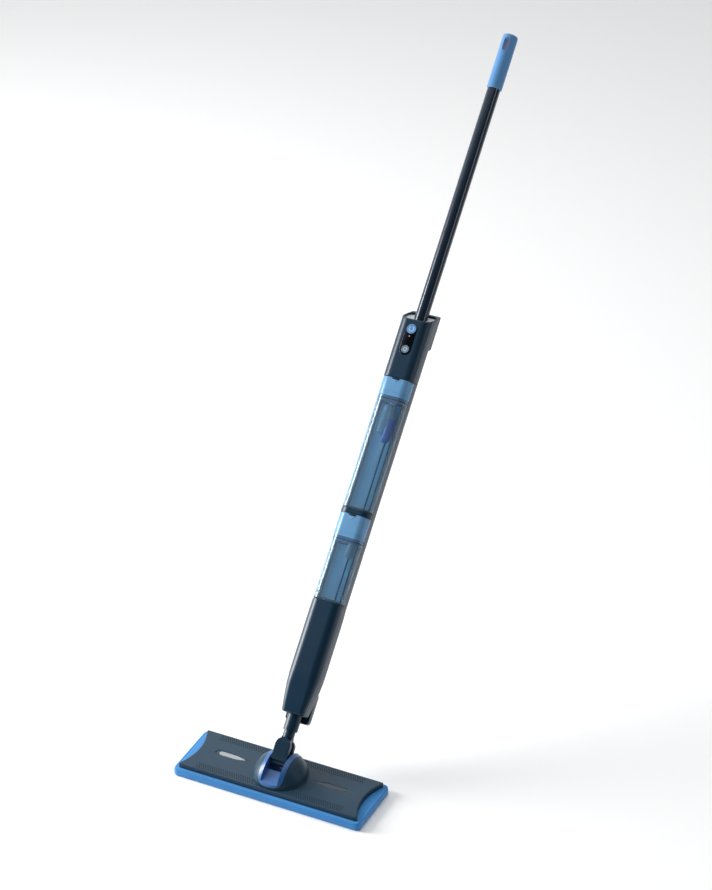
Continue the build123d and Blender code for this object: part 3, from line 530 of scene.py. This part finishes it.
def cartridge():
    """Dosing cartridge under the cap: neck, cloudy ribbed sleeve on the left, capsule on the right."""
    capsule_at = {"x": 7.6, "y": -9.6}
    neck = [(5.0, 606), (5.2, 607), (4.2, 609), (4.2, 613), (6.6, 614), (6.6, 617), (5.0, 618), (5.0, 640)]
    revolve("cartridge_neck", neck, "clean_tank", CLOUDY, "clear_blue_plastic", x=2.0, y=-9.5)
    ribs = [(0.6, 556), (6.4, 556.2), (7.4, 557.5)]
    for i in range(12):
        s = 559 + i * 3.0
        ribs += [(7.4, s), (8.0, s + 0.7), (8.0, s + 1.4), (7.4, s + 2.1)]
    ribs += dome_profile(7.6, 604.0, 7.0, down=False)
    revolve("cartridge_ribbed_sleeve", ribs, "clean_tank", CLOUDY, "clear_blue_plastic", -2.2, -11.5,
            ("cartridge_sleeve",))
    capsule = dome_profile(7.4, 541.0, 7.0, down=True) + dome_profile(7.4, 606.0, 7.0, down=False)
    revolve("cartridge_capsule", capsule, "clean_tank", CLEAR, "clear_blue_plastic", **capsule_at)
    fill = dome_profile(6.6, 542.0, 6.4, down=True) + [(6.6, 581.0), (0.4, 581.4)]
    revolve("cartridge_dose", fill, "clean_tank", LIQUID, "concentrate", **capsule_at,
            replaces=("cartridge_concentrate",))


def dome_profile(radius, end, height, down):
    """Half-ellipse end of a capsule: (radius sin a, height cos a) from the tip, or back to it."""
    angle = np.linspace(0.06, 1, 10) * TAU / 4
    sign = 1 if down else -1
    points = [(radius * math.sin(a), end + sign * height * (1 - math.cos(a))) for a in angle]
    return points if down else points[::-1]


# ------------------------------------------------------------------ controls
POWER_S, MODE_S, LED_S = 732.5, 697.5, 720.0


def plate_on_front(name, outline, levels, centre_s, body, used, replaces=()):
    """A flat piece on the front: outline rings scaled and stepped outwards by (scale, height)."""
    rings = [at_height(outline * scale + (0, centre_s), height) for scale, height in levels]
    return stack(name, np.array(rings)[:, ::-1], body, used, replaces, place=facing_front)


def controls():
    reach = POWER_S - MODE_S
    face = ((1, 24.5), (1, 26.0), (0.992, 26.16), (0.97, 26.25))
    plate_on_front("gloss_panel", stadium(9.9, reach), face, (POWER_S + MODE_S) / 2, "pole", PANEL,
                   ("display_panel",))
    ring = circle(1.0, 48)
    for name, s, radius, body, used, slot in (
            ("power_cap", POWER_S, 8.2, "power_key", LIGHT_BLUE, "light_blue_plastic"),
            ("mode_cap", MODE_S, 6.6, "mode_key", GREY, "grey_button")):
        levels = ((radius, 21.5), (radius, 26.8), (radius - 0.15, 27.1), (radius - 0.5, 27.3),
                  (radius - 1.0, 27.25), (radius * 0.5, 26.95), (radius * 0.08, 26.9))
        node_name = "power_button" if body == "power_key" else "mode_button"
        plate_on_front(name, ring, levels, s, body, used, (node_name,))
    lamp = ((1.0, 24.5), (1.0, 26.3), (0.7, 26.5))
    plate_on_front("lamp_lens", ring, lamp, LED_S, "pole", LAMP, ("status_led",))
    symbol("power_symbol", POWER_S, 3.9, 0.42, 0.14, "power_key", 27.05)
    symbol("mode_symbol", MODE_S, 2.7, 0.36, 0.0, "mode_key", 27.0)


def symbol(name, s, radius, thick, gap, body, height):
    """A raised ring, open at the top by gap, a fraction of a turn."""
    angle = (0.25 + gap / 2 + np.linspace(0, 1 - gap, 40)) * TAU
    around = np.arange(8) * TAU / 8
    along = np.stack([radius * np.cos(angle), s + radius * np.sin(angle), np.full(40, height)], axis=-1)
    out = np.stack([np.cos(angle), np.sin(angle), np.zeros(40)], axis=-1)
    up = np.array([0.0, 0.0, 1.0])
    rings = along[:, None] + thick * (np.cos(around)[None, :, None] * out[:, None]
                                      + 0.5 * np.sin(around)[None, :, None] * up)
    return stack(name, rings[:, ::-1], body, SYMBOL, place=facing_front)


# ------------------------------------------------------------------ head
PLATE_HALF_X, PLATE_HALF_Y, PLATE_SAG, PLATE_TOP = 162.5, 51.0, 14.0, 22.0
# Windows: the y of their middle line, and the centre of the round outer end.
WINDOW_Y, WINDOW_END = 4.0, 114.5


def plate_reach(y):
    """Half length of the plate at y: a concave arc, deepest in the middle, rounded at the tips."""
    radius = (PLATE_HALF_Y ** 2 + PLATE_SAG ** 2) / (2 * PLATE_SAG)
    hollow = PLATE_HALF_X - PLATE_SAG + radius - np.sqrt(np.maximum(radius ** 2 - y ** 2, 0))
    near_tip = np.clip((np.abs(y) - (PLATE_HALF_Y - 5)) / 5, 0, 1)
    return hollow - 6.0 * (1 - np.sqrt(np.maximum(1 - near_tip ** 2, 0)))


def window_distance(x, y):
    """Signed distance, negative inside, to a window's long drop.

    The drop is a capsule whose radius tapers from 5.5 at its outer end to a point towards the dome.
    """
    ax = np.abs(x)
    along = np.clip(ax, 60.0, WINDOW_END)
    width = 5.5 * blend(along, 56.0, 84.0)
    return np.hypot(ax - along, y - WINDOW_Y) - width


def plate_height(x, y):
    """Top of the plate: a field crowned by half a millimetre, with a soft scoop around each window."""
    scoop = 1.5 * (1 - blend(window_distance(x, y), -1.6, 1.0))
    crown = 0.5 * (1 - (y / PLATE_HALF_Y) ** 2)
    return PLATE_TOP - 0.6 + crown - scoop


def plate():
    """Height field over the plate's outline, with its edge rolled over and walls down to the pad."""
    columns, rows = 420, 132
    v = np.linspace(-1, 1, rows)
    u = np.linspace(-1, 1, columns)
    y = PLATE_HALF_Y * v[:, None] * np.ones((1, columns))
    x = u[None, :] * plate_reach(PLATE_HALF_Y * v)[:, None]
    edge = np.minimum(PLATE_HALF_Y - np.abs(y), plate_reach(y) - np.abs(x))
    roll = 2.2
    near = np.clip(1 - edge / roll, 0, 1)
    z = plate_height(x, y) - roll * (1 - np.sqrt(np.maximum(1 - near ** 2, 0)))
    top = np.stack([x, y, z], axis=-1)
    border = np.concatenate([top[0], top[1:, -1], top[-1, -2::-1], top[-2:0:-1, 0]])
    wall = np.stack([border * (1, 1, 0) + (0, 0, height) for height in (18.4, 17.9, 17.4, 15.0, 14.0)])
    # The second and third rings draw in to a shadow groove, and the last one to a tucked-under foot.
    wall[1:3, :, :2] *= (1 - 0.003, 1 - 0.008)
    wall[4, :, :2] *= (1 - 0.003, 1 - 0.010)
    index = np.arange(rows * columns).reshape(rows, columns)
    ring = np.concatenate([index[0], index[1:, -1], index[-1, -2::-1], index[-2:0:-1, 0]])
    quads = np.stack([index[:-1, :-1], index[:-1, 1:], index[1:, 1:], index[1:, :-1]], axis=-1)
    faces = quads.reshape(-1, 4).tolist()
    count = len(ring)
    start = rows * columns
    levels = [ring] + [np.arange(count) + start + k * count for k in range(len(wall))]
    for high, low in zip(levels, levels[1:]):
        faces += np.stack([low, np.roll(low, -1), np.roll(high, -1), high], axis=-1).tolist()
    faces.append(levels[-1][::-1].tolist())
    points = np.concatenate([top.reshape(-1, 3), wall.reshape(-1, 3)])
    mesh = mesh_from("head_plate", upright(points), faces, 50)
    return link("head_plate", mesh, "head", PLATE, ("base_cover", "base_tray"))


def dot_field():
    """Low round dots in a staggered grid, in bands along both long edges, clear of the dome.

    Their dark colour is painted shade, so that they read as the shaded pits of the plate's pattern.
    """
    pitch, row_step, reach, dome_clear, sides = 4.0, 0.87, 132, 49.5, 8
    spots = []
    for side in (-1, 1):
        for row in range(4):
            y = side * (PLATE_HALF_Y - 5.5 - row * pitch * row_step)
            for k in range(-33, 34):
                x = k * pitch + (pitch / 2 if row % 2 else 0.0)
                if abs(x) < reach and math.hypot(x, y) > dome_clear:
                    spots.append((x, y))
    spots = np.array(spots)
    around = circle(1.0, sides)
    levels = ((1.25, -0.25), (1.15, 0.06), (0.5, 0.1))
    shape = np.array([at_height(around * radius, z) for radius, z in levels])
    base = np.stack([spots[:, 0], spots[:, 1], plate_height(spots[:, 0], spots[:, 1])], axis=-1)
    points = base[:, None, None] + shape[None]
    unit = np.array(strip_faces(len(levels), sides))
    per_dot = len(levels) * sides
    faces = (unit[None] + per_dot * np.arange(len(spots))[:, None, None]).reshape(-1, 4).tolist()
    for first in range(0, per_dot * len(spots), per_dot):
        faces.append([first + per_dot - sides + i for i in range(sides)])
        faces.append([first + sides - 1 - i for i in range(sides)])
    mesh = mesh_from("plate_dots", upright(points), faces, 60)
    return link("plate_dots", mesh, "head", PIT_PAINTED_SHADE)


def window(side, name, node_name):
    """Gloss insert lying in its scoop: a drop, wide at its outer end, with a nearly flat top."""
    tip, end = 62.0, 120.0
    t = np.linspace(0, 1, 40)
    along = tip + (end - tip) * (1 - np.cos(t * TAU / 2)) / 2
    core = np.minimum(along, WINDOW_END)
    past_end = (along - core) ** 2 * (5.0 / 5.5) ** 2
    half = np.sqrt(np.maximum((5.0 * blend(core, 58.0, 84.0)) ** 2 - past_end, 0))
    upper = np.stack([along, WINDOW_Y + half], axis=-1)
    lower = np.stack([along, WINDOW_Y - half], axis=-1)[-2:0:-1]
    line = np.concatenate([upper[::-1], lower[::-1]])
    line[:, 0] *= side
    if side < 0:
        line = line[::-1]
    middle = np.array([side * 94.0, WINDOW_Y])
    rings = [at_height(middle + (line - middle) * scale, z)
             for scale, z in ((0.98, 19.0), (0.98, 20.9), (0.93, 21.25), (0.7, 21.27), (0.05, 21.28))]
    return stack(name, rings, "head", WINDOW, (node_name,), place=upright)


def pad():
    """Rounded slab of microfibre: a soft belly, a rolled top edge with a stitched channel inside it."""
    def outline(inset):
        corner = 8 - min(inset, 5)
        line = rounded(168 - inset, 57 - inset, 57 - inset, corner, corner, arc=16)
        return densify(line, 2.5)
    side = [(1.8, 0.0), (0.7, 0.4), (0.2, 1.4), (0.0, 3.0), (0.0, 7.0), (0.05, 10.5), (0.5, 12.4),
            (1.5, 13.5), (3.0, 13.9), (4.2, 13.75), (4.7, 13.35), (5.2, 13.75), (7.0, 13.95),
            (12.0, 13.95), (24.0, 13.9)]
    count = len(outline(0.0))
    rings = np.array([at_height(resample(outline(inset), count), z) for inset, z in side])
    made = stack("mop_pad_cloth", rings, "head", PAD, ("mop_pad",), place=upright, sharp=80)
    return made


def along_line(line):
    """The closed line, and how far round it each of its points is."""
    closed = np.vstack([line, line[:1]])
    return closed, np.concatenate([[0], np.cumsum(np.hypot(*np.diff(closed, axis=0).T))])


def resample(line, count):
    """That many points, evenly spaced round a closed line."""
    closed, length = along_line(line)
    at = np.linspace(0, length[-1], count, endpoint=False)
    return np.stack([np.interp(at, length, closed[:, 0]), np.interp(at, length, closed[:, 1])], axis=-1)


def densify(line, step):
    """Even points round a closed line, about step apart, and never fewer than it had."""
    length = along_line(line)[1]
    return resample(line, max(int(length[-1] / step), len(line)))


top_casing()
rim_collar()
lower_casing()
casing_foot()
for kind, (tank_base, tank_rim, cap_top) in TANKS.items():
    tank_body = kind + "_tank"
    tank_shell(kind + "_tank_wall", tank_base, tank_rim, tank_body, kind + "_tank_shell")
    tank_cap(kind + "_cap", tank_rim, cap_top, tank_body, kind + "_tank_cap")
    tank_painted_light_strips(kind + "_tank_light_strip", tank_base, tank_rim, tank_body)
    cap_catch(kind + "_cap_catch", cap_top, tank_body)
    cap_arrow(kind + "_cap_arrow", cap_top, tank_body)
cartridge()
controls()
plate()
dot_field()
window(-1, "window_left", "flow_window_left")
window(1, "window_right", "flow_window_right")
pad()


# ------------------------------------------------------------------ camera, floor and light
def aim(thing, target):
    direction = Vector(target) - thing.location
    thing.rotation_euler = direction.to_track_quat("-Z", "Y").to_euler()


CAMERA_AT, CAMERA_LOOKS = (1.905, -3.635, 3.187), (-0.3723, 0.7640, -0.5270)
CAMERA_LENS_MM, CAMERA_ROLL = 129.4, 0.0025
FLOOR_HALF = 12.0
# Name, place, target, width, height, watts.
LAMPS = (
    ("key_left", (-2.6, -0.45, 1.15), (0, 0.3, 0.4), 0.9, 1.9, 125),
    ("overhead", (0.0, 0.5, 4.5), (0, 0.4, 0), 4.0, 4.0, 42),
    ("glint_back_left", (-1.24, 2.09, 1.84), (-0.09, 0, 0.02), 0.24, 0.6, 3),
    ("strip_right", (2.5, 0.6, 1.2), (0, 0.35, 0.5), 0.25, 2.4, 7),
)


def add_camera():
    """The viewpoint of the photo, as fitted to its head and pole."""
    data = bpy.data.cameras.new("camera")
    data.lens = CAMERA_LENS_MM
    data.clip_end = 50
    camera = bpy.data.objects.new("camera", data)
    bpy.context.scene.collection.objects.link(camera)
    camera.location = CAMERA_AT
    aim(camera, camera.location + Vector(CAMERA_LOOKS))
    camera.rotation_euler.rotate_axis("Z", CAMERA_ROLL)
    bpy.context.scene.camera = camera


def add_area(name, place, target, width, height, watts):
    data = bpy.data.lights.new(name, "AREA")
    data.shape = "RECTANGLE"
    data.size = width
    data.size_y = height
    data.energy = watts
    lamp = bpy.data.objects.new(name, data)
    bpy.context.scene.collection.objects.link(lamp)
    lamp.location = place
    aim(lamp, target)


def add_floor():
    mesh = bpy.data.meshes.new("floor")
    corners = [(x * FLOOR_HALF, y * FLOOR_HALF, 0) for x, y in ((-1, -1), (1, -1), (1, 1), (-1, 1))]
    mesh.from_pydata(corners, [], [(0, 1, 2, 3)])
    floor = bpy.data.objects.new("floor", mesh)
    mesh.materials.append(material("floor_white_paper", "#ffffff", 0.9))
    bpy.context.scene.collection.objects.link(floor)


def add_world():
    """Studio room: brightest up, left and behind, darkest in front, so the dark parts stay dark."""
    world = bpy.data.worlds.new("studio")
    world.use_nodes = True
    tree = world.node_tree
    where = node(tree, "ShaderNodeTexCoord").outputs["Generated"]
    facing = node(tree, "ShaderNodeVectorMath", [(0, where)], operation="DOT_PRODUCT")
    facing.inputs[1].default_value = (-0.55, 0.62, 0.56)
    ramp = node(tree, "ShaderNodeValToRGB", [("Fac", facing.outputs["Value"])])
    ramp.color_ramp.elements[0].position = 0.2
    ramp.color_ramp.elements[0].color = (0.07, 0.08, 0.09, 1)
    ramp.color_ramp.elements[1].position = 0.85
    ramp.color_ramp.elements[1].color = (1, 1, 1, 1)
    tree.links.new(ramp.outputs["Color"], tree.nodes["Background"].inputs["Color"])
    bpy.context.scene.world = world


add_camera()
add_floor()
add_world()
for lamp_values in LAMPS:
    add_area(*lamp_values)
bpy.context.scene.view_settings.view_transform = "Standard"
